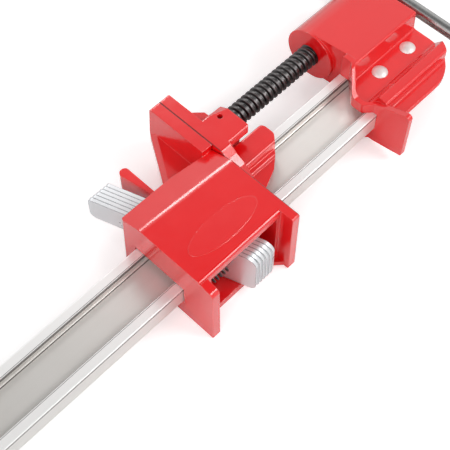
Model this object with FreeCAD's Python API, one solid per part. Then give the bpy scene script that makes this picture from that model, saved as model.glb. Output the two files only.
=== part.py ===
import FreeCAD, Part
import math
import os

from FreeCAD import Vector

# Steel bar clamp lying on its side, in millimetres. X runs along the bar towards the screw,
# Y from the bar towards the jaws, Z up from the bench. The origin is the middle of the
# sliding head's underside.

# Bar: an I section whose web lies flat.
bar_width = 41.3
bar_thickness = 15.9
flange_width = 7.4
web_thickness = 3.5
web_fillet = 1.5
flange_corner = 0.8
bar_raise = 16.4
tail_margin = 12.0
stop_pin_radius = 2.5
stop_pin_stand = 4.0
stop_pin_edge = 0.5

# Travel of the sliding head along the bar, and of the moving jaw with its screw.
head_travel = 553.0
screw_travel = 57.5
travel_margin = 2.0

# Clearances between pieces.
bar_clearance = 0.7
jaw_gap = 0.3
screw_clearance = 0.08
pin_clearance = 0.02
plate_gap = 0.12
grip_gap = 0.1
plate_play = 0.3
seat_gap = 0.3

# Extra length of each cut past the faces that it crosses, and of each joined part into the next.
cut_margin = 1.0

# Sizes shared by the castings.
casting_height = 60.5
jaw_reach = 76.2
jaw_draft = 1.8
jaw_low_draft = 4.5
foot_reach = 46.5
screw_offset = 48.0
screw_height = 30.1
web_low = 26.0
web_high = 36.3
cast_corner = 1.5

# Sliding head.
head_length = 75.3
end_wall = 9.0
left_wall = 3.5
top_wall = 6.6
floor_wall = 6.0
hood_left = 31.5
hood_right = 36.5
floor_right = 34.5
shoulder_drop = 5.2
shoulder_width = 16.6
ridge_offset = 14.9
ridge_drift = 3.9
wall_bend = 41.0
wall_taper = 4.1
foot_thickness = 6.0
near_foot_slope = 2.5
near_foot_round = 4.0
near_foot_drop = 1.0
foot_brace_height = 4.2
hood_edge = 2.4
hood_corner = 2.0
wall_draft = 3.0
ridge_round = 13.0
oval_length = 56.0
oval_width = 19.0
oval_offset = 18.5
oval_stand = 0.5
oval_root = 0.5

# Tail jaw, cast on the sliding head.
tail_plate = 8.5
tail_web_length = 29.0
tail_web_edge = 3.5

# Finger tab on the head's left wall.
tab_low = 13.0
tab_high = 34.0
tab_root = 35.6
tab_tip = 29.0
tab_back = 36.5
tab_flare = 2.1
tab_flare_length = 8.0
tab_reach = 69.8
tab_round = 3.3
window_margin = 2.5

# Clutch plates and their spring.
plate_count = 6
plate_thickness = 2.7
plate_tilt = 19.0
plate_height = 36.0
plate_right = 46.0
plate_left = 72.5
plate_tail_height = 20.0
plate_neck = 28.0
plate_taper = 11.0
plate_corner = 5.0
plate_head_round = 8.5
plate_small_corner = 2.5
stack_start = 25.6
spring_play = 1.2
spring_height = 25.0
spring_radius = 3.6
spring_wire = 1.0
spring_turns = 8

# Moving jaw.
jaw_plate = 8.4
ring_leg = 5.0
ring_top = 9.0
ring_bottom = 8.0
jaw_root = 20.0
throat_corner_y = 14.4
throat_corner_drop = 4.9
throat_bend_y = 7.3
throat_bend_drop = 8.8
throat_low_y = 3.8
throat_low_rise = 6.4
throat_end_y = -2.0
boss_length = 18.5
boss_right = 21.5
boss_left = 46.0
boss_slab = 7.0
boss_wall = 10.5
boss_chamfer = 4.5
boss_waist_rise = 2.0
boss_waist_drop = 6.0
boss_web_length = 12.0
boss_web_reach = 10.0
boss_web_end = 3.5
facet_start = 2.0
facet_width = 5.5
facet_reach = 6.9
facet_drop = 4.2
shoe_length = 34.0
shoe_wall = 3.6
shoe_top = 12.0
shoe_hook = 12.0
shoe_floor = 6.0
shoe_ridge = 8.5
shoe_step = 4.5
shoe_step_height = 5.0
shoe_bead = 1.0
shoe_lip = 1.6
shoe_throat_right = 8.0
shoe_throat_length = 4.0
shoe_nose_right = 2.0
shoe_nose_length = 18.0
shoe_end_right = 13.5
shoe_end_length = 8.0
shoe_tip_round = 4.6

# Screw and its retaining pin. Its thread is cut in looks only.
screw_radius = 7.95
neck_radius = 5.9
nose_length = 5.0
nose_edge = 0.8
groove_length = 6.0
nose_gap = 0.5
boss_floor = 2.0
roll_pin_radius = 1.9
roll_pin_bore = 1.0
roll_pin_slot = 0.7
roll_pin_depth = 4.5
roll_pin_length = 48.0
neck_play = 0.5

# Fixed head.
fixed_length = 74.5
fixed_wall = 4.0
fixed_foot_reach = 45.5
fixed_wall_low = 9.0
fixed_wall_root = 3.7
fixed_wall_top = 19.6
fixed_wall_dip = 8.5
fixed_wall_round = 3.0
lip_bulge = 6.0
lip_wall = 4.0
lip_right = 17.5
lip_tip_right = 12.0
lip_tip_left = 2.5
lip_left = 12.5
lip_round = 4.0
lip_tip_round = 6.0
dip_left = 5.5
socket_clearance = 0.1
panel_thickness = 3.6
panel_right = 11.0
rivet_room = 0.75
left_rib_height = 19.5
left_rib_lean = 1.0
right_rib_height = 12.8
right_rib_lean = 6.5
rib_edge = 1.8
rib_wall = 4.2
flange_reach = 35.6
flange_top = 4.0
flange_thickness = 4.0
socket_floor = 4.0
nut_radius = 20.0
nut_setback = 9.3
head_round = 30.0
rivet_head_radius = 5.7
rivet_head_height = 2.3
rivet_shank_radius = 4.0
rivet_setback = 27.5
rivet_pitch = 30.0

# Hub, cross handle and their fasteners.
hub_gap = 5.0
hub_length = 22.0
hub_radius = 12.5
hub_edge = 2.0
hub_pin_radius = 2.0
hub_pin_setback = 4.0
tenon_length = 8.0
handle_radius = 4.75
handle_length = 150.0
cap_radius = 8.0
cap_length = 12.0
cap_seat = 0.7
cap_edge = 2.5

# Places that follow from the sizes.
bar_top = bar_raise + bar_thickness
bar_middle = bar_raise + bar_thickness / 2
head_near = -head_length / 2
head_far = head_length / 2
jaw_near = head_far + jaw_gap
jaw_back = jaw_near + jaw_plate
boss_end = jaw_back + boss_length
shoe_end = jaw_back + shoe_length
lip_front = shoe_end + screw_travel + travel_margin
fixed_near = lip_front + lip_bulge
fixed_far = fixed_near + fixed_length
stop_pin_x = head_near - head_travel - stop_pin_radius - seat_gap
bar_tail = stop_pin_x - tail_margin
hub_near = fixed_far + hub_gap
hub_far = hub_near + hub_length
handle_x = (hub_near + tenon_length + hub_far) / 2
tilt = math.radians(plate_tilt)
plate_pitch = (plate_thickness + plate_gap) / math.cos(tilt)
first_plate_x = head_near + stack_start + plate_thickness / 2 / math.cos(tilt)
passage = bar_width / 2 + bar_clearance
panel_left = rivet_head_radius + cast_corner + rivet_room
spring_y = -bar_width / 2 - spring_play - spring_radius


def point(axis, u, v, w):
    """The place of outline point (u, v) at distance w along the axis of the extrusion."""
    if axis == "X":
        return Vector(w, u, v)
    if axis == "Y":
        return Vector(u, w, v)
    return Vector(u, v, w)


def outline(corners, axis, at):
    """A closed wire through corners (u, v) or (u, v, radius), rounded where a radius is given."""
    starts, middles, ends = [], [], []
    for i, corner in enumerate(corners):
        here = point(axis, corner[0], corner[1], at)
        radius = corner[2] if len(corner) > 2 else 0
        before = point(axis, *corners[i - 1][:2], at) - here
        after = point(axis, *corners[(i + 1) % len(corners)][:2], at) - here
        half = before.getAngle(after) / 2
        if radius:
            before.normalize()
            after.normalize()
            inward = before + after
            inward.normalize()
            back = radius / math.tan(half)
            starts.append(here + before * back)
            ends.append(here + after * back)
            middles.append(here + inward * (radius / math.sin(half) - radius))
        else:
            starts.append(here)
            ends.append(here)
            middles.append(None)
    edges = []
    for i, middle in enumerate(middles):
        if middle:
            edges.append(Part.Arc(starts[i], middle, ends[i]).toShape())
        follow = starts[(i + 1) % len(starts)]
        edges.append(Part.LineSegment(ends[i], follow).toShape())
    return Part.Wire(edges)


def prism(corners, axis, low, high):
    """A solid of the given outline between two distances along an axis."""
    face = Part.Face(outline(corners, axis, low))
    return face.extrude(point(axis, 0, 0, high - low))


def block(x0, x1, y0, y1, z0, z1):
    return Part.makeBox(x1 - x0, y1 - y0, z1 - z0, Vector(x0, y0, z0))


def rod(radius, length, start, direction):
    return Part.makeCylinder(radius, length, Vector(*start), Vector(*direction))


def joined(first, *others):
    return first.multiFuse(list(others)).removeSplitter()


def rounded(solid, radius, chosen):
    """The solid with a fillet on each edge for which chosen(middle, edge) is true."""
    edges = [e for e in solid.Edges if chosen(e.BoundBox.Center, e)]
    return solid.makeFillet(radius, edges)


def near(value, target):
    return abs(value - target) < 0.01


def bar_passage(x0, x1):
    """The opening that a moving casting slides on the bar with."""
    low = bar_raise - bar_clearance
    high = bar_top + bar_clearance
    return block(x0, x1, -passage, passage, low, high)


# Bar and its tail stop.
def i_beam_bar():
    half = bar_width / 2
    inner = half - flange_width
    web_low_z = bar_middle - web_thickness / 2
    web_high_z = bar_middle + web_thickness / 2
    section = [
        (-half, bar_raise, flange_corner),
        (-inner, bar_raise, flange_corner),
        (-inner, web_low_z, web_fillet),
        (inner, web_low_z, web_fillet),
        (inner, bar_raise, flange_corner),
        (half, bar_raise, flange_corner),
        (half, bar_top, flange_corner),
        (inner, bar_top, flange_corner),
        (inner, web_high_z, web_fillet),
        (-inner, web_high_z, web_fillet),
        (-inner, bar_top, flange_corner),
        (-half, bar_top, flange_corner),
    ]
    bar = prism(section, "X", bar_tail, fixed_far - seat_gap)
    hole = rod(stop_pin_radius, bar_thickness, (stop_pin_x, 0, bar_raise), (0, 0, 1))
    holes = [hole]
    for x in rivet_places():
        holes.append(rod(rivet_shank_radius, bar_thickness, (x, 0, bar_raise), (0, 0, 1)))
    return bar.cut(holes)


def bar_stop_pin():
    low = bar_raise - stop_pin_stand
    length = bar_thickness + 2 * stop_pin_stand
    pin = rod(stop_pin_radius, length, (stop_pin_x, 0, low), (0, 0, 1))
    return pin.makeChamfer(stop_pin_edge, [e for e in pin.Edges if e.Closed])


def rivet_places():
    first = fixed_near + rivet_setback
    return first, first + rivet_pitch


# Sliding head with the tail jaw, the two feet and the finger tab in one casting.
def hood():
    section = [
        (-hood_right, 0),
        (hood_left + wall_draft, 0),
        (hood_left, casting_height),
        (-hood_right, casting_height),
    ]
    whole = prism(section, "X", head_near, head_far)
    bend_x = head_near + wall_bend
    wall_foot = hood_left + wall_draft
    taper = Part.makePolygon(
        [
            Vector(bend_x, wall_foot, 0),
            Vector(head_far, wall_foot - wall_taper, 0),
            Vector(head_far, wall_foot + cut_margin, 0),
            Vector(bend_x, wall_foot + cut_margin, 0),
            Vector(bend_x, wall_foot, 0),
        ]
    )
    lean = Vector(0, -wall_draft, casting_height)
    shell = whole.cut(Part.Face(taper).extrude(lean))
    slope = shoulder_drop / shoulder_width
    reach = 2 * shoulder_width
    over = Part.makePolygon(
        [
            Vector(head_near, ridge_offset, casting_height),
            Vector(head_near, ridge_offset + reach, casting_height - reach * slope),
            Vector(head_near, ridge_offset + reach, casting_height + cut_margin),
            Vector(head_near, ridge_offset, casting_height + cut_margin),
            Vector(head_near, ridge_offset, casting_height),
        ]
    )
    drift = Vector(head_length, -ridge_drift, 0)
    shell = shell.cut(Part.Face(over).extrude(drift))
    shell = rounded(
        shell,
        ridge_round,
        lambda middle, edge: near(middle.y, ridge_offset - ridge_drift / 2)
        and near(middle.z, casting_height),
    ).common(whole)
    shell = rounded(
        shell,
        hood_edge,
        lambda middle, edge: near(middle.y, -hood_right) and near(middle.z, casting_height),
    )
    return rounded(
        shell,
        hood_corner,
        lambda middle, edge: near(middle.x, head_near) and middle.y > hood_left,
    )


def jaw_outline(inner):
    """A jaw plate seen along the bar, widest at its mould line halfway up."""
    return [
        (inner, 0),
        (jaw_reach + jaw_draft - jaw_low_draft, 0, cast_corner),
        (jaw_reach + jaw_draft, web_low),
        (jaw_reach + jaw_draft, web_high),
        (jaw_reach, casting_height, cast_corner),
        (inner, casting_height),
    ]


def tail_jaw():
    """The tail jaw's plate, braced by a flat web at half height that runs out to its tip."""
    back = head_far - tail_plate
    inner = hood_left - left_wall
    plate = prism(jaw_outline(inner), "X", back, head_far)
    tip = jaw_reach + jaw_draft
    web = prism(
        [
            (back + tail_plate / 2, tip),
            (back, tip),
            (back - tail_web_length, hood_left),
            (back - tail_web_length, inner),
            (back + tail_plate / 2, inner),
        ],
        "Z",
        web_low,
        web_high,
    )
    middle = (back - tail_web_length / 2, (tip + hood_left) / 2)
    edges = []
    for edge in web.Edges:
        centre = edge.BoundBox.Center
        if near(centre.x, middle[0]) and near(centre.y, middle[1]):
            edges.append(edge)
    return joined(plate, web.makeChamfer(tail_web_edge, edges))


def finger_tab():
    root = head_near + tab_root
    tip = head_near + tab_tip
    back = head_near + tab_back
    shape = [
        (root, hood_left - left_wall),
        (root, hood_left),
        (tip, tab_reach, tab_round),
        (back, tab_reach, tab_round),
        (back, hood_left + tab_flare_length),
        (back + tab_flare, hood_left),
        (back + tab_flare, hood_left - left_wall),
    ]
    return prism(shape, "Z", tab_low, tab_high)


def near_foot():
    top = casting_height - near_foot_drop
    shape = [
        (-hood_right, 0),
        (-hood_right, top),
        (-foot_reach, top - near_foot_slope, near_foot_round),
        (-foot_reach, 0, cast_corner),
    ]
    return prism(shape, "X", head_near, head_near + foot_thickness)


def far_foot():
    shape = [
        (-hood_right + hood_edge, 0),
        (-hood_right + hood_edge, casting_height),
        (-foot_reach, casting_height, cast_corner),
        (-foot_reach, 0, cast_corner),
    ]
    foot = prism(shape, "X", head_far - foot_thickness, head_far)
    wall_face = head_far - end_wall
    brace = prism(
        [
            (wall_face - foot_thickness, -floor_right),
            (head_far - foot_thickness / 2, -floor_right),
            (head_far - foot_thickness / 2, -foot_reach + cast_corner),
        ],
        "Z",
        0,
        foot_brace_height,
    )
    return foot.fuse(brace)


def oval_pad():
    """A bare raised oval on the top face, proud on its right side and flush on its left."""
    low = casting_height - oval_root
    high = casting_height + oval_stand
    curve = Part.Ellipse(Vector(0, -oval_offset, low), oval_length / 2, oval_width / 2)
    oval = Part.Face(Part.Wire(curve.toShape())).extrude(Vector(0, 0, high - low))
    right = -oval_offset - oval_width / 2
    left = -oval_offset + oval_width / 2
    section = [(right, low), (left, low), (left, casting_height), (right, high)]
    return oval.common(prism(section, "X", head_near, head_far))


def plate_face_x(index, side, y, angle):
    """Where a plate's front (-1) or rear (1) face crosses y, with the plate tilted by angle."""
    centre = first_plate_x + index * plate_pitch
    return centre + side * plate_thickness / 2 / math.cos(angle) - y * math.tan(angle)


def sliding_head():
    inside_near = head_near + end_wall
    inside_far = head_far - end_wall
    inner_left = hood_left - left_wall
    cavity = block(
        inside_near,
        inside_far,
        -hood_right - cut_margin,
        inner_left,
        floor_wall,
        casting_height - top_wall,
    )
    floor_edge = block(
        inside_near,
        inside_far,
        -hood_right - cut_margin,
        -floor_right,
        -cut_margin,
        floor_wall,
    )
    window = block(
        plate_face_x(0, -1, hood_left, tilt) - window_margin,
        head_near + tab_root,
        inner_left - cut_margin,
        hood_left + wall_draft + cut_margin,
        floor_wall,
        bar_middle + plate_height / 2 + window_margin,
    )
    body = joined(hood(), near_foot(), far_foot(), tail_jaw(), finger_tab(), oval_pad())
    near_passage = bar_passage(head_near - cut_margin, inside_near + cut_margin)
    far_passage = bar_passage(inside_far - cut_margin, head_far + cut_margin)
    return body.cut([cavity, floor_edge, window, near_passage, far_passage])


# Clutch plates, square to the bench and tilted on the bar, and the spring that tilts them.
def clutch_plate(index):
    half = plate_height / 2
    tail = plate_tail_height / 2
    neck_end = plate_neck + plate_taper
    shape = [
        (-plate_right, -half, plate_corner),
        (plate_neck, -half, plate_small_corner),
        (neck_end, -tail, plate_corner),
        (plate_left, -tail, plate_corner),
        (plate_left, tail, plate_small_corner),
        (neck_end, tail, plate_corner),
        (plate_neck, half, plate_small_corner),
        (-plate_right, half, plate_head_round),
    ]
    plate = prism(shape, "X", -plate_thickness / 2, plate_thickness / 2)
    window = (bar_width + plate_thickness * math.sin(tilt)) / math.cos(tilt) + 2 * grip_gap
    slot = block(
        -plate_thickness,
        plate_thickness,
        -window / 2,
        window / 2,
        -bar_thickness / 2 - plate_play,
        bar_thickness / 2 + plate_play,
    )
    plate = plate.cut(slot)
    plate.rotate(Vector(0, 0, 0), Vector(0, 0, 1), plate_tilt)
    plate.translate(Vector(first_plate_x + index * plate_pitch, 0, bar_middle))
    return plate


def clutch_spring():
    start = head_near + end_wall + plate_gap
    clear_side = spring_y + spring_radius
    end = plate_face_x(0, -1, clear_side, tilt) - seat_gap
    turn_radius = spring_radius - spring_wire / 2
    length = end - start - spring_wire
    helix = Part.makeHelix(length / spring_turns, length, turn_radius)
    across = Part.makeCircle(spring_wire / 2, Vector(turn_radius, 0, 0), Vector(0, 1, 0))
    coil = Part.Wire(helix).makePipeShell([Part.Wire(across)], True, True)
    coil.rotate(Vector(0, 0, 0), Vector(0, 1, 0), 90)
    coil.translate(Vector(start + spring_wire / 2, spring_y, spring_height))
    return coil


# Moving jaw: the face plate, the ring on the bar, the long guide shoe and the screw boss.
def jaw_face():
    outer_right = -passage - ring_leg
    top = bar_top + ring_top
    bottom = bar_raise - ring_bottom
    shape = jaw_outline(jaw_root)[:-1] + [
        (jaw_root, casting_height, cast_corner),
        (throat_corner_y, casting_height - throat_corner_drop),
        (throat_bend_y, casting_height - throat_bend_drop),
        (throat_low_y, top + throat_low_rise),
        (throat_end_y, top, cast_corner),
        (outer_right, top, cast_corner),
        (outer_right, bottom, cast_corner),
        (jaw_root - bottom, bottom),
    ]
    return prism(shape, "X", jaw_near, jaw_back)


def guide_shoe():
    outer = passage + shoe_wall
    low = bar_raise - bar_clearance
    lip_z = bar_top + bar_clearance + shoe_lip
    right = -passage
    section = [
        (outer, low - shoe_floor),
        (outer, bar_top + shoe_top, cast_corner),
        (shoe_ridge, bar_top + shoe_top, cast_corner),
        (shoe_ridge - shoe_bead, bar_top + shoe_step_height + shoe_bead),
        (shoe_step, bar_top + shoe_step_height, shoe_bead),
        (shoe_step - shoe_bead, lip_z + shoe_bead),
        (right, lip_z),
        (right, bar_middle),
        (passage - cut_margin, bar_middle),
        (passage - cut_margin, low - shoe_floor),
    ]
    hook = [
        (outer, low - shoe_floor, cast_corner),
        (outer, low + cut_margin),
        (outer - shoe_hook, low + cut_margin),
        (outer - shoe_hook, low - shoe_floor),
    ]
    start = jaw_near + cut_margin
    body = prism(section, "X", start, shoe_end).fuse(prism(hook, "X", start, shoe_end))
    plan = [
        (jaw_near, right),
        (jaw_back, -shoe_throat_right),
        (jaw_back + shoe_throat_length, -shoe_throat_right),
        (jaw_back + shoe_nose_length, -shoe_nose_right),
        (shoe_end - shoe_end_length, shoe_step),
        (shoe_end, shoe_end_right, shoe_tip_round),
        (shoe_end, outer, shoe_tip_round),
        (jaw_near, outer),
    ]
    cut_to_plan = prism(plan, "Z", 0, casting_height)
    return body.common(cut_to_plan)


def screw_boss():
    """The barrel round the screw's nose, with a flat top slab, a web to the jaw and a corner facet."""
    left = screw_offset + boss_wall
    right = screw_offset - screw_radius - boss_wall
    slab_low = casting_height - boss_slab
    slab = prism(
        [
            (boss_right, slab_low),
            (boss_left, slab_low),
            (boss_left, casting_height, cast_corner),
            (boss_right, casting_height, cast_corner),
        ],
        "X",
        jaw_near + cut_margin,
        boss_end,
    )
    barrel = prism(
        [
            (right, slab_low + cut_margin),
            (boss_left, slab_low + cut_margin),
            (boss_left, casting_height - cast_corner),
            (left, screw_height + boss_waist_rise, cast_corner),
            (left, screw_height - boss_waist_drop, cast_corner),
            (boss_left, floor_wall, cast_corner),
            (right + boss_waist_drop, floor_wall, cast_corner),
            (right, screw_height - boss_waist_drop),
        ],
        "X",
        jaw_near + cut_margin,
        boss_end,
    )
    plan = prism(
        [
            (jaw_near + cut_margin, boss_right),
            (boss_end, boss_right, cast_corner),
            (boss_end, left, boss_chamfer),
            (jaw_near + cut_margin, left),
        ],
        "Z",
        0,
        casting_height,
    )
    web = prism(
        [
            (jaw_near + cut_margin, jaw_reach),
            (jaw_back, jaw_reach),
            (jaw_back + boss_web_length, left + boss_web_reach),
            (boss_end, left + boss_web_end, cast_corner),
            (boss_end, left - boss_chamfer),
            (jaw_near + cut_margin, left - boss_chamfer),
        ],
        "Z",
        web_low,
        web_high,
    )
    start = Vector(jaw_back + facet_start, boss_left, casting_height)
    end = Vector(boss_end, boss_left - facet_width, casting_height)
    outward = Vector(0, facet_reach, -facet_drop) * (casting_height / facet_drop)
    facet = Part.makePolygon([start, end, end + outward, start + outward, start])
    facet_cut = Part.Face(facet).extrude(Vector(0, 0, casting_height))
    return joined(slab, barrel).common(plan).cut(facet_cut).fuse(web)


def roll_pin_place():
    """The retaining pin stands upright beside the screw's neck."""
    pin_x = jaw_back + boss_floor + nose_gap + nose_length + groove_length / 2
    return pin_x, screw_offset - neck_radius - neck_play - roll_pin_radius


def moving_jaw():
    body = joined(jaw_face(), guide_shoe(), screw_boss())
    bore_start = jaw_back + boss_floor
    bore = rod(
        screw_radius + screw_clearance,
        boss_end - bore_start + cut_margin,
        (bore_start, screw_offset, screw_height),
        (1, 0, 0),
    )
    pin_x, pin_y = roll_pin_place()
    pin_low = casting_height - roll_pin_depth - roll_pin_length
    pin_hole = rod(roll_pin_radius + pin_clearance, casting_height, (pin_x, pin_y, pin_low), (0, 0, 1))
    return body.cut([bar_passage(jaw_near - cut_margin, shoe_end + cut_margin), bore, pin_hole])


def screw_roll_pin():
    """A split spring pin pressed into the boss beside the screw's neck."""
    pin_x, pin_y = roll_pin_place()
    low = casting_height - roll_pin_depth - roll_pin_length
    solid = rod(roll_pin_radius, roll_pin_length, (pin_x, pin_y, low), (0, 0, 1))
    bore = rod(roll_pin_bore, roll_pin_length, (pin_x, pin_y, low), (0, 0, 1))
    half_slot = roll_pin_slot / 2
    slot = block(
        pin_x - half_slot,
        pin_x + half_slot,
        pin_y - 2 * roll_pin_radius,
        pin_y,
        low,
        low + roll_pin_length,
    )
    return solid.cut([bore, slot])


# Screw with its grooved nose, and a tenon at the other end for the hub.
def clamp_screw():
    nose_x = jaw_back + boss_floor + nose_gap
    groove_x = nose_x + nose_length
    shoulder_x = groove_x + groove_length
    nose = rod(screw_radius, nose_length, (nose_x, screw_offset, screw_height), (1, 0, 0))
    tip_edges = [e for e in nose.Edges if near(e.BoundBox.Center.x, nose_x)]
    nose = nose.makeChamfer(nose_edge, tip_edges)
    neck = rod(neck_radius, groove_length, (groove_x, screw_offset, screw_height), (1, 0, 0))
    shaft_length = hub_near - shoulder_x
    shaft = rod(screw_radius, shaft_length, (shoulder_x, screw_offset, screw_height), (1, 0, 0))
    tenon = rod(neck_radius, tenon_length, (hub_near, screw_offset, screw_height), (1, 0, 0))
    screw = joined(nose, neck, shaft, tenon)
    return screw.cut(hub_pin_rod(hub_pin_radius))


# Fixed head: a socket for the bar end, riveted through the bar, and the nut for the screw.
def fixed_head():
    half = bar_width / 2 + socket_clearance
    top = bar_top + socket_clearance
    low = bar_raise - socket_clearance
    panel_z = top + panel_thickness
    left_z = bar_top + left_rib_height
    right_z = bar_top + right_rib_height
    rib_outer = half + rib_wall
    flange_z = bar_top + flange_top
    section = [
        (-rib_outer, low - socket_floor, cast_corner),
        (screw_offset, low - socket_floor),
        (screw_offset, screw_height + nut_radius),
        (panel_left + left_rib_lean, left_z, cast_corner),
        (panel_left, panel_z, cast_corner),
        (-panel_right, panel_z, cast_corner),
        (-panel_right - right_rib_lean, right_z, cast_corner),
        (-rib_outer, right_z, rib_edge),
        (-rib_outer, flange_z, rib_edge),
        (-flange_reach, flange_z, rib_edge),
        (-flange_reach, flange_z - flange_thickness, cast_corner),
        (-rib_outer, flange_z - flange_thickness),
    ]
    channel = prism(section, "X", lip_front, fixed_far)
    nut_near = fixed_near + nut_setback
    nut = rod(nut_radius, fixed_far - nut_near, (nut_near, screw_offset, screw_height), (1, 0, 0))
    nose = [
        (fixed_near, -lip_right),
        (lip_front, -lip_tip_right, lip_round),
        (lip_front, -lip_tip_left, lip_tip_round),
        (nut_near, lip_left),
    ]
    nose_inside = [(corner[0] + lip_wall, *corner[1:]) for corner in nose]
    plan = [
        (fixed_near + fixed_wall / 2, -flange_reach),
        (fixed_far, -flange_reach, head_round),
        (fixed_far, screw_offset + nut_radius),
        (nut_near, screw_offset + nut_radius),
    ]
    channel = channel.common(prism(plan + nose_inside[::-1], "Z", 0, casting_height))
    dip_z = bar_top + fixed_wall_dip
    wall_z = bar_top + fixed_wall_top
    wall = prism(
        [
            (-fixed_foot_reach, fixed_wall_low, cast_corner),
            (-half, fixed_wall_root, cast_corner),
            (nut_radius, fixed_wall_root, cast_corner),
            (nut_radius, left_z, cast_corner),
            (panel_left + left_rib_lean, left_z, lip_round),
            (-dip_left, dip_z, lip_round),
            (-lip_right, dip_z, lip_round),
            (-fixed_foot_reach, wall_z, fixed_wall_round),
        ],
        "X",
        lip_front,
        nut_near + lip_wall,
    )
    wall_plan = [
        (fixed_near + fixed_wall, -fixed_foot_reach - cut_margin),
        *nose_inside,
        (nut_near + lip_wall, nut_radius + cut_margin),
        (nut_near, nut_radius + cut_margin),
        *nose[::-1],
        (fixed_near, -fixed_foot_reach - cut_margin),
    ]
    wall = wall.common(prism(wall_plan, "Z", 0, casting_height))
    socket = block(lip_front - cut_margin, fixed_far + cut_margin, -half, half, low, top)
    bore = rod(
        screw_radius + screw_clearance,
        fixed_far - nut_near + 2 * cut_margin,
        (nut_near - cut_margin, screw_offset, screw_height),
        (1, 0, 0),
    )
    holes = [socket, bore]
    for x in rivet_places():
        holes.append(rod(rivet_shank_radius, casting_height, (x, 0, 0), (0, 0, 1)))
    return joined(channel, nut, wall).cut(holes)


def head_rivet(index):
    x = rivet_places()[index]
    top = bar_top + socket_clearance + panel_thickness
    low = bar_raise - socket_clearance - socket_floor
    shank = rod(rivet_shank_radius, top - low, (x, 0, low), (0, 0, 1))
    ball_radius = (rivet_head_radius**2 + rivet_head_height**2) / 2 / rivet_head_height
    heads = []
    for base, side in ((top, 1), (low, -1)):
        centre = Vector(x, 0, base + side * (rivet_head_height - ball_radius))
        ball = Part.makeSphere(ball_radius, centre)
        reach = rivet_head_radius + cut_margin
        floor = base if side > 0 else base - reach
        cap_box = block(x - reach, x + reach, -reach, reach, floor, floor + reach)
        heads.append(ball.common(cap_box))
    return joined(shank, *heads)


# Hub on the screw's tenon, its cross pin, and the sliding cross handle.
def hub_pin_rod(radius):
    x = hub_near + hub_pin_setback
    return rod(radius, 2 * hub_radius, (x, screw_offset, screw_height - hub_radius), (0, 0, 1))


def screw_hub():
    hub = rod(hub_radius, hub_length, (hub_near, screw_offset, screw_height), (1, 0, 0))
    hub = hub.makeChamfer(hub_edge, [e for e in hub.Edges if e.Closed])
    tenon = rod(neck_radius, tenon_length, (hub_near, screw_offset, screw_height), (1, 0, 0))
    cross = rod(
        handle_radius + screw_clearance,
        2 * (hub_radius + cut_margin),
        (handle_x, screw_offset - hub_radius - cut_margin, screw_height),
        (0, 1, 0),
    )
    return hub.cut([tenon, cross, hub_pin_rod(hub_pin_radius)])


def hub_pin():
    return hub_pin_rod(hub_pin_radius)


def handle_bar():
    start = screw_offset - handle_length / 2
    return rod(handle_radius, handle_length, (handle_x, start, screw_height), (0, 1, 0))


def handle_cap(side):
    start = screw_offset + side * handle_length / 2
    socket = cap_length * cap_seat
    base = start - side * socket
    direction = (0, side, 0)
    cap = rod(cap_radius, cap_length, (handle_x, base, screw_height), direction)
    cap = cap.makeFillet(cap_edge, [e for e in cap.Edges if e.Closed])
    return cap.cut(rod(handle_radius, socket, (handle_x, base, screw_height), direction))


def all_pieces():
    pieces = {
        "i_beam_bar": i_beam_bar(),
        "bar_stop_pin": bar_stop_pin(),
        "fixed_head": fixed_head(),
        "head_rivet_near": head_rivet(0),
        "head_rivet_far": head_rivet(1),
        "sliding_head": sliding_head(),
        "clutch_spring": clutch_spring(),
        "moving_jaw": moving_jaw(),
        "screw_roll_pin": screw_roll_pin(),
        "clamp_screw": clamp_screw(),
        "screw_hub": screw_hub(),
        "hub_pin": hub_pin(),
        "handle_bar": handle_bar(),
        "handle_cap_left": handle_cap(1),
        "handle_cap_right": handle_cap(-1),
    }
    for index in range(plate_count):
        pieces[f"clutch_plate_{index + 1}"] = clutch_plate(index)
    return pieces


os.makedirs("parts", exist_ok=True)
for name, shape in all_pieces().items():
    shape.exportStep(f"parts/{name}.step")
    box = shape.BoundBox
    solids = len(shape.Solids)
    print(f"{name}: {solids} solid, {shape.Volume:.0f} mm3, valid {shape.isValid()}")
    print(f"  x {box.XMin:.2f}..{box.XMax:.2f} y {box.YMin:.2f}..{box.YMax:.2f}")
    print(f"  z {box.ZMin:.2f}..{box.ZMax:.2f}")
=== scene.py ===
# A steel bar clamp: an I-section bar, a riveted fixed head, a sliding head that
# grips the bar with a stack of tilted plates, and a jaw driven by a long screw.
# All lengths are in metres.
import math

import bmesh
import bpy
from mathutils import Matrix, Vector


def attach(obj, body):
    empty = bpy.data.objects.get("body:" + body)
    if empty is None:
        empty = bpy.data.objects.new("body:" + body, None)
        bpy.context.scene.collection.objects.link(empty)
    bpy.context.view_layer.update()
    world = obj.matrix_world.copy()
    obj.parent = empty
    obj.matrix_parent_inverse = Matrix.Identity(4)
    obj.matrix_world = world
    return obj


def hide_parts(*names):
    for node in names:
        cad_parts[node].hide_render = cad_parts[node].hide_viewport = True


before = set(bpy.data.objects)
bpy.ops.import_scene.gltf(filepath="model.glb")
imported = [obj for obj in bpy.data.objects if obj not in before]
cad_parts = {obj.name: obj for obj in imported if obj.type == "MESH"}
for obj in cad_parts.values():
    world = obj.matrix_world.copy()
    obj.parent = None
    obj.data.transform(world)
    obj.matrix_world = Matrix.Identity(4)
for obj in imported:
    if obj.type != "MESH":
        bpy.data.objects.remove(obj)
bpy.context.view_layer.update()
scene = bpy.context.scene
scene.view_settings.view_transform = "Standard"


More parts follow.
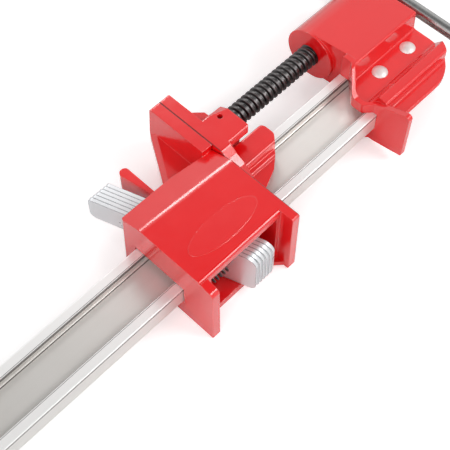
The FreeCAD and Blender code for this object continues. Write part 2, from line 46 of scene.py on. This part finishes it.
# Camera: looks down on the clamp from behind the tail end, with the bar running
# from the lower left to the upper right.
camera_place = Vector((-0.22504, -0.24050, 0.59456))
camera_down = math.radians(59.342)
camera_heading = math.radians(45.598)
camera_roll = math.radians(-0.258)
camera_sensor, camera_lens = 36, 82.79      # millimetres
level = Vector((math.sin(camera_heading), math.cos(camera_heading), 0))
right = Vector((math.cos(camera_heading), -math.sin(camera_heading), 0))
forward = math.cos(camera_down) * level - math.sin(camera_down) * Vector((0, 0, 1))
upward = math.sin(camera_down) * level + math.cos(camera_down) * Vector((0, 0, 1))
turned_right = math.cos(camera_roll) * right + math.sin(camera_roll) * upward
turned_up = math.cos(camera_roll) * upward - math.sin(camera_roll) * right
camera_data = bpy.data.cameras.new("camera")
camera_data.sensor_width = camera_sensor
camera_data.lens = camera_lens
camera = bpy.data.objects.new("camera", camera_data)
axes = Matrix((turned_right, turned_up, -forward)).transposed().to_4x4()
camera.matrix_world = Matrix.Translation(camera_place) @ axes
scene.collection.objects.link(camera)
scene.camera = camera


# Studio: a white sweep of floor, an even pale room that dims towards the ceiling, a
# wide soft box in front, and two over the far end of the bar that draw the
# highlights along the castings' rounded ridges.
room_light = 0.42
wall_level, ceiling_level = 1.0, 0.20
wall_top, ceiling_start = 0.70, 0.95        # height of a direction, 1 straight up
floor_size = 16.0
floor_white = 0.90
near_glow, far_glow = 0.42, 0.66
near_floor, far_floor = 0.7, 2.2            # distance from the bar's middle
clamp_middle = Vector((0.08, 0.02, 0.04))
soft_boxes = {
    # toward the lamp, distance, width, height, watts
    "left_soft_box": (Vector((0.355, 0.655, 0.667)), 1.6, 0.34, 0.34, 3.6),
    "right_soft_box": (Vector((0.36, -0.60, 0.65)), 1.6, 0.6, 0.6, 10.0),
    "front_soft_box": (Vector((-0.80, -0.25, 0.55)), 1.8, 1.6, 1.2, 13.3),
}


def new_material(name):
    """An empty node material and its output node."""
    material = bpy.data.materials.new(name)
    material.use_nodes = True
    material.node_tree.nodes.clear()
    return material, material.node_tree.nodes.new("ShaderNodeOutputMaterial")


def add(tree, kind, settings=None, **inputs):
    """A node with its settings and inputs. An input is named, or numbered as i0, i1
    and so on, and takes a value or another node's socket."""
    made = tree.nodes.new("ShaderNode" + kind)
    for key, value in (settings or {}).items():
        setattr(made, key, value)
    for key, value in inputs.items():
        socket = made.inputs[int(key[1:]) if key[1:].isdigit() else key.replace("_", " ")]
        if isinstance(value, bpy.types.NodeSocket):
            tree.links.new(value, socket)
        else:
            socket.default_value = value
    return made


def ramp(tree, value, start, end, at_start=0.0, at_end=1.0, shape="LINEAR"):
    """A value's way from start to end, turned into one from at_start to at_end."""
    made = add(tree, "MapRange", {"interpolation_type": shape}, Value=value,
               i1=start, i2=end, i3=at_start, i4=at_end)
    return made.outputs[0]


def work_out(tree, operation, first, second=None):
    """One step of arithmetic on a value or two."""
    if second is None:
        return add(tree, "Math", {"operation": operation}, i0=first).outputs[0]
    return add(tree, "Math", {"operation": operation}, i0=first, i1=second).outputs[0]


world = bpy.data.worlds.new("pale_room")
scene.world = world
world.use_nodes = True
world.node_tree.nodes.clear()
tree = world.node_tree
ray = add(tree, "LightPath")
seen = work_out(tree, "MAXIMUM", ray.outputs["Is Camera Ray"], ray.outputs["Is Glossy Ray"])
seen = work_out(tree, "MAXIMUM", seen, ray.outputs["Is Transmission Ray"])
light = add(tree, "Background", Color=(1, 1, 1, 1), Strength=room_light)
toward = add(tree, "TexCoord")
height = add(tree, "SeparateXYZ", Vector=toward.outputs["Generated"])
walls = ramp(tree, height.outputs[2], wall_top, ceiling_start, wall_level, ceiling_level,
             "SMOOTHSTEP")
backdrop = add(tree, "Background", Color=(1, 1, 1, 1), Strength=walls)
both = add(tree, "MixShader", Fac=seen, i1=light.outputs[0], i2=backdrop.outputs[0])
add(tree, "OutputWorld", Surface=both.outputs[0])

material, output = new_material("white_sweep")
tree = material.node_tree
ray = add(tree, "LightPath")
paper = add(tree, "BsdfDiffuse", Color=(floor_white, floor_white, floor_white, 1))
place = add(tree, "TexCoord")
away = add(tree, "VectorMath", {"operation": "LENGTH"}, i0=place.outputs["Object"])
glow = ramp(tree, away.outputs["Value"], near_floor, far_floor, near_glow, far_glow,
            "SMOOTHSTEP")
glow = add(tree, "Emission", Color=(1, 1, 1, 1), Strength=glow)
shown = add(tree, "MixShader", Fac=ray.outputs["Is Camera Ray"], i2=glow.outputs[0])
total = add(tree, "AddShader", i0=paper.outputs[0], i1=shown.outputs[0])
tree.links.new(total.outputs[0], output.inputs["Surface"])
sweep = bmesh.new()
bmesh.ops.create_grid(sweep, x_segments=1, y_segments=1, size=floor_size / 2)
mesh = bpy.data.meshes.new("floor")
sweep.to_mesh(mesh)
sweep.free()
mesh.materials.append(material)
floor = bpy.data.objects.new("floor", mesh)
scene.collection.objects.link(floor)

for name, (toward, distance, width, height, watts) in soft_boxes.items():
    data = bpy.data.lights.new(name, "AREA")
    data.shape = "RECTANGLE"
    data.size = width
    data.size_y = height
    data.energy = watts
    lamp = bpy.data.objects.new(name, data)
    lamp.location = clamp_middle + distance * toward.normalized()
    lamp.rotation_euler = toward.to_track_quat("Z", "Y").to_euler()
    scene.collection.objects.link(lamp)


# Bar: a rolled I-section steel bar, drawn bright, with paler flanges, their sides painted
# paler as painted light, and a greyer web. It carries both heads, and two rivets hold it
# in the fixed head.
bar_bright = (0.90, 0.875, 0.84, 1)
bar_dull = (0.84, 0.81, 0.77, 1)
# palest steel tone: worn edges, the paler flange tops, and painted light on the flange
# sides
bar_worn_and_sheen = (0.97, 0.96, 0.95, 1)
bar_streak = (8.0, 60.0, 60.0)
tail_dull, tail_bright, tail_tone = -0.22, 0.10, 0.72      # along the bar, and its shade
crest_low, crest_high = 0.0296, 0.0312                     # paler tops of the flanges
flank_start, flank_full, flank_sheen = 0.0180, 0.0200, 0.4   # sides of the flanges painted paler, as painted light
# painted shade: thin dark lines in the web's roots and along the flange edges
shade_line_colour = (0.06, 0.05, 0.045, 1)
shade_line_depth = 0.85
shade_lines = [
    # distance from the bar's middle, half width, lowest and highest level
    (0.01340, 0.00020, 0.0300, 0.0330),
    (0.01200, 0.00025, 0.0255, 0.0290),
    (0.02065, 0.00018, 0.0300, 0.0314),
    (0.01440, 0.00012, 0.0312, 0.0330),
]
edge_looks = 6           # how many times each point looks about for an edge
sharp_turn = 0.75        # cosine of the turn that counts as a full edge
steel_round = 0.0005     # rounding of steel edges
scratch_depth = 0.0002
streak_detail, streak_roughness, fine_detail = 6.0, 0.65, 2.0
tone_low, tone_high = 0.2, 0.8
polished, rubbed = 0.75, 1.35               # shares of a steel's own roughness


def mix_colour(tree, amount, first, second, blend="MIX"):
    """Two colours mixed by an amount, 0 for the first and 1 for the second."""
    made = add(tree, "Mix", {"data_type": "RGBA", "blend_type": blend}, i0=amount,
               i6=first, i7=second)
    return made.outputs[2]


def mix_value(tree, amount, first, second):
    """Two values mixed by an amount, 0 for the first and 1 for the second."""
    made = add(tree, "Mix", {"data_type": "FLOAT"}, i0=amount, i2=first, i3=second)
    return made.outputs[0]


def noise(tree, place, scale, detail, roughness=0.5):
    """Fine cloudy variation at a scale, with so many steps of smaller detail."""
    made = add(tree, "TexNoise", Vector=place, Scale=scale, Detail=detail,
               Roughness=roughness)
    return made.outputs["Fac"]


def edge_mask(tree, radius):
    """How far a point is on a sharp edge: 0 on a flat, near 1 on a crest."""
    softened = add(tree, "Bevel", {"samples": edge_looks}, Radius=radius)
    geometry = add(tree, "NewGeometry")
    turn = add(tree, "VectorMath", {"operation": "DOT_PRODUCT"},
               i0=softened.outputs["Normal"], i1=geometry.outputs["Normal"])
    return ramp(tree, turn.outputs["Value"], 1.0, sharp_turn)


def relief(tree, height, strength, depth, radius):
    """Surface direction with fine relief on it and with softly rounded edges."""
    rounded = add(tree, "Bevel", {"samples": edge_looks}, Radius=radius)
    made = add(tree, "Bump", Strength=strength, Distance=depth, Height=height,
               Normal=rounded.outputs[0])
    return made.outputs[0]


def steel(name, bright, dull, edge, roughness, stretch=(1, 1, 1), grain=60.0, bump=0.1,
          metallic=1.0, mottle=0.5, rim=0.0009):
    """Bare or plated steel: drawn streaks, fine scratches, and edges of their own
    colour: worn brighter, or darker as painted shade between stacked parts."""
    material, output = new_material(name)
    tree = material.node_tree
    place = add(tree, "TexCoord").outputs["Object"]
    drawn = add(tree, "Mapping", Vector=place, Scale=stretch).outputs[0]
    streaks = noise(tree, drawn, grain / 10, streak_detail, streak_roughness)
    cloud = noise(tree, place, grain, fine_detail)
    tone = ramp(tree, mix_value(tree, mottle, streaks, cloud), tone_low, tone_high)
    body = mix_colour(tree, tone, dull, bright)
    colour = mix_colour(tree, edge_mask(tree, rim), body, edge)
    scratches = noise(tree, drawn, grain * 2, fine_detail)
    gloss = ramp(tree, scratches, 0.0, 1.0, roughness * polished, roughness * rubbed)
    facing = relief(tree, scratches, bump, scratch_depth, steel_round)
    shader = add(tree, "BsdfPrincipled", Base_Color=colour, Metallic=metallic,
                 Roughness=gloss, Normal=facing)
    tree.links.new(shader.outputs[0], output.inputs["Surface"])
    return material


def paint(nodes, material):
    """Puts a material on every material slot of the named CAD pieces."""
    for node in nodes:
        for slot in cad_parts[node].material_slots:
            slot.material = material


def band(tree, value, middle, half):
    """1 where a value is within half of the middle, fading out to 0 at twice that."""
    away = work_out(tree, "ABSOLUTE", work_out(tree, "SUBTRACT", value, middle))
    return ramp(tree, away, half, 2 * half, 1.0, 0.0)


def bar_finish():
    """The bar's steel: paler flange tops, flange sides painted paler as painted light, a
    satin web that dulls towards the tail, and thin painted shade lines in the web's roots
    and under the crests."""
    material = steel("bar_steel", bar_bright, bar_dull, bar_worn_and_sheen, roughness=0.34,
                     stretch=bar_streak, grain=40.0, bump=0.02, metallic=0.4)
    tree = material.node_tree
    shader = next(n for n in tree.nodes if n.type == "BSDF_PRINCIPLED")
    steel_colour = shader.inputs["Base Color"].links[0].from_socket
    place = add(tree, "TexCoord")
    parts = add(tree, "SeparateXYZ", Vector=place.outputs["Object"])
    along, across, height = parts.outputs
    across = work_out(tree, "ABSOLUTE", across)
    fade = ramp(tree, along, tail_dull, tail_bright, tail_tone, 1.0)
    web = mix_colour(tree, 1.0, steel_colour, fade, "MULTIPLY")
    crest = ramp(tree, height, crest_low, crest_high)
    # flange sides painted paler: painted light on faces that get less light than the tops
    flank = ramp(tree, across, flank_start, flank_full, 0.0, flank_sheen)
    body = mix_colour(tree, work_out(tree, "MAXIMUM", crest, flank), web, bar_worn_and_sheen)
    lines = None
    for middle, half, low, high in shade_lines:
        above = work_out(tree, "GREATER_THAN", height, low)
        below = work_out(tree, "LESS_THAN", height, high)
        line = work_out(tree, "MULTIPLY", band(tree, across, middle, half),
                        work_out(tree, "MULTIPLY", above, below))
        lines = work_out(tree, "MAXIMUM", lines, line) if lines else line
    # the thin lines mixed in as painted shade
    scale = work_out(tree, "MULTIPLY", lines, shade_line_depth)
    tree.links.new(mix_colour(tree, scale, body, shade_line_colour), shader.inputs["Base Color"])
    return material


paint(("i_beam_bar",), bar_finish())


# Castings: three grey-iron castings, ground at the seams and dipped in glossy red
# enamel. The fixed head is riveted on, the other two slide along the bar. Along the
# edges where the two jaws press together, the gap's shade is painted in as a dark line.
enamel_red = (0.90, 0.008, 0.010, 1)
enamel_deep = (0.80, 0.004, 0.007, 1)
enamel_edge = (0.90, 0.025, 0.022, 1)
enamel_rim = 0.0012                     # how wide the paint thins on an edge
enamel_round = 0.0008                   # rounding of a painted edge
pooling_scale, swell_scale, grain_scale = 38.0, 110.0, 420.0
swell_detail, grain_detail = 2.0, 4.0
relief_strength, relief_depth = 0.10, 0.0005
swell_low, swell_high = 0.3, 0.7
gloss_low, gloss_high = 0.15, 0.24
enamel_ior, coat_weight, coat_gloss = 1.5, 0.8, 0.12
# painted shade: the dark gap line where the two jaws meet, painted on both castings' edges
gap_shade_colour = (0.08, 0.006, 0.006, 1)
jaw_meeting, gap_shade_half_width, gap_shade_edge = 0.0378, 0.0004, 0.3


def red_enamel(name):
    """Glossy paint over cast iron: slight pooling, fine cast grain, thin on edges."""
    material, output = new_material(name)
    tree = material.node_tree
    place = add(tree, "TexCoord").outputs["Object"]
    pooling = noise(tree, place, pooling_scale, grain_detail)
    body = mix_colour(tree, pooling, enamel_deep, enamel_red)
    worn = edge_mask(tree, enamel_rim)
    coat = mix_colour(tree, worn, body, enamel_edge)
    along = add(tree, "SeparateXYZ", Vector=place).outputs[0]
    # painted shade of the jaws' gap, on the edges at their meeting plane
    gap_shade = work_out(tree, "MULTIPLY", band(tree, along, jaw_meeting, gap_shade_half_width),
                    ramp(tree, worn, 0.0, gap_shade_edge))
    colour = mix_colour(tree, gap_shade, coat, gap_shade_colour)
    swell = noise(tree, place, swell_scale, swell_detail)
    grain = noise(tree, place, grain_scale, grain_detail)
    height = mix_value(tree, 0.5, grain, swell)
    facing = relief(tree, height, relief_strength, relief_depth, enamel_round)
    gloss = ramp(tree, swell, swell_low, swell_high, gloss_low, gloss_high)
    shader = add(tree, "BsdfPrincipled", Base_Color=colour, IOR=enamel_ior, Roughness=gloss,
                 Normal=facing, Coat_Weight=coat_weight, Coat_Roughness=coat_gloss,
                 Coat_Normal=facing)
    tree.links.new(shader.outputs[0], output.inputs["Surface"])
    return material


paint(("fixed_head", "sliding_head", "moving_jaw"), red_enamel("glossy_red_enamel"))


# Rivets: two solid steel rivets with low domed heads, pressed through the fixed
# head and the bar's web and headed over hot on both faces.
rivet_steel = steel("rivet_steel", bright=(0.88, 0.86, 0.84, 1), dull=(0.82, 0.80, 0.78, 1),
                    edge=(0.9, 0.89, 0.88, 1), roughness=0.42, grain=300.0, bump=0.08,
                    metallic=0.3)
paint(("head_rivet_near", "head_rivet_far"), rivet_steel)


# Clutch plates: stamped steel plates, zinc plated, threaded loosely on the bar and
# leaning together; each is sheared on its edges and keeps a small burr radius. The
# edges are painted near black as the shade in the gaps between the plates.
# its edge colour is near black: painted shade in the gaps between the plates
zinc = steel("bright_zinc", bright=(0.84, 0.86, 0.88, 1), dull=(0.76, 0.78, 0.80, 1),
             edge=(0.08, 0.085, 0.10, 1), roughness=0.30, grain=50.0, bump=0.01,
             metallic=0.5, rim=0.0008)
paint([f"clutch_plate_{number}" for number in range(1, 7)], zinc)


# Small dark steel parts: the stop pin through the bar's tail, the spring behind the
# plates, and the split pin that keeps the screw's nose in the jaw.
black_oxide = steel("black_oxide", bright=(0.15, 0.14, 0.14, 1),
                    dull=(0.05, 0.05, 0.052, 1), edge=(0.30, 0.29, 0.28, 1),
                    roughness=0.34, grain=260.0, bump=0.15)
paint(("bar_stop_pin", "clutch_spring", "screw_roll_pin"), black_oxide)


# Screw: a black oxide steel screw with one right-hand trapezoidal thread, cut from
# a short plain band at the jaw up to the hub. Its grooved nose turns in the jaw.
screw_y, screw_z = 0.0480, 0.0301
thread_lead = 0.0044
thread_crest, thread_root = 0.00795, 0.00600
crest_flat, root_flat = 0.0013, 0.0013
crest_break = 0.00025
band_radius, neck_radius = 0.0072, 0.00572
nose_start, nose_end, band_start = 0.04885, 0.05385, 0.05985
thread_start, thread_end, tenon_end = 0.0755, 0.22535, 0.23335
thread_steps, lathe_steps = 48, 64
spare_turns = 2          # turns past each end of the thread, cut off again
nose_chamfer = 0.0008
nose_face = thread_crest * 0.9
core_radius = thread_root * 0.9
tuck = 0.001             # how far a plain end reaches into the thread
end_gap = 0.0005         # the thread stops this far short of its plain end
same_point = 0.00001
hard_edge = math.radians(25)
axis_point = Vector((0, screw_y, screw_z))
x_axis = Vector((1, 0, 0))


def lathe(target, outline, steps, advance=0.0):
    """Turns an outline of (x, radius) points once round the screw's axis, while it
    moves along the axis by the advance."""
    points = [target.verts.new((x, screw_y, screw_z + radius)) for x, radius in outline]
    lines = [target.edges.new(pair) for pair in zip(points, points[1:])]
    bmesh.ops.spin(target, geom=points + lines, cent=axis_point, axis=x_axis,
                   angle=2 * math.pi, steps=steps, dvec=x_axis * advance / steps,
                   use_merge=not advance)
    bmesh.ops.remove_doubles(target, verts=target.verts, dist=same_point)


def in_order(parts, key):
    """Sorts the parts of a mesh by a key, so that they lie alike on every run."""
    for place, part in enumerate(sorted(parts, key=key)):
        part.index = place
    parts.sort()


screw = bmesh.new()
flank = (thread_lead - crest_flat - root_flat) / 2
half_break = crest_break * 0.6
turn = [
    (0, thread_root),
    (flank - half_break, thread_crest - crest_break),
    (flank + half_break, thread_crest),
    (flank + crest_flat - half_break, thread_crest),
    (flank + crest_flat + half_break, thread_crest - crest_break),
    (2 * flank + crest_flat, thread_root),
]
first = thread_start - spare_turns * thread_lead
count = math.ceil((thread_end - thread_start) / thread_lead) + 2 * spare_turns
lathe(screw, [(first + n * thread_lead + x, r) for n in range(count) for x, r in turn],
      thread_steps, thread_lead)
for cut, outward in ((thread_start, -1), (thread_end - end_gap, 1)):
    whole = screw.verts[:] + screw.edges[:] + screw.faces[:]
    sliced = bmesh.ops.bisect_plane(screw, geom=whole, plane_co=Vector((cut, 0, 0)),
                                    plane_no=x_axis * outward, clear_outer=True)
    rim = [e for e in sliced["geom_cut"] if isinstance(e, bmesh.types.BMEdge)]
    bmesh.ops.edgeloop_fill(screw, edges=rim)
core = [
    (nose_start, 0), (nose_start, nose_face), (nose_start + nose_chamfer, thread_crest),
    (nose_end, thread_crest), (nose_end, neck_radius), (band_start, neck_radius),
    (band_start, band_radius), (thread_start + tuck, band_radius),
    (thread_start + tuck, core_radius), (thread_end - tuck, core_radius),
    (thread_end - tuck, band_radius),
    (thread_end, band_radius), (thread_end, neck_radius), (tenon_end, neck_radius),
    (tenon_end, 0),
]
lathe(screw, core, lathe_steps)
bmesh.ops.recalc_face_normals(screw, faces=screw.faces)
in_order(screw.verts, lambda vert: tuple(vert.co))
in_order(screw.edges, lambda edge: sorted(vert.index for vert in edge.verts))
in_order(screw.faces, lambda face: sorted(vert.index for vert in face.verts))
mesh = bpy.data.meshes.new("threaded_screw")
screw.to_mesh(mesh)
screw.free()
mesh.materials.append(black_oxide)
mesh.polygons.foreach_set("use_smooth", [True] * len(mesh.polygons))
mesh.set_sharp_from_angle(angle=hard_edge)
threaded_screw = bpy.data.objects.new("threaded_screw", mesh)
scene.collection.objects.link(threaded_screw)
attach(threaded_screw, "screw")
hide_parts("clamp_screw")


# Hub and handle: a turned hub pinned on the screw's end, a sliding cross bar and a
# round knob pressed on each end of it, all in dull grey plated steel.
handle_steel = steel("handle_steel", bright=(0.46, 0.46, 0.455, 1),
                     dull=(0.34, 0.34, 0.335, 1), edge=(0.62, 0.62, 0.61, 1),
                     roughness=0.26, grain=220.0, bump=0.1)
paint(("screw_hub", "hub_pin", "handle_bar", "handle_cap_left", "handle_cap_right"),
      handle_steel)
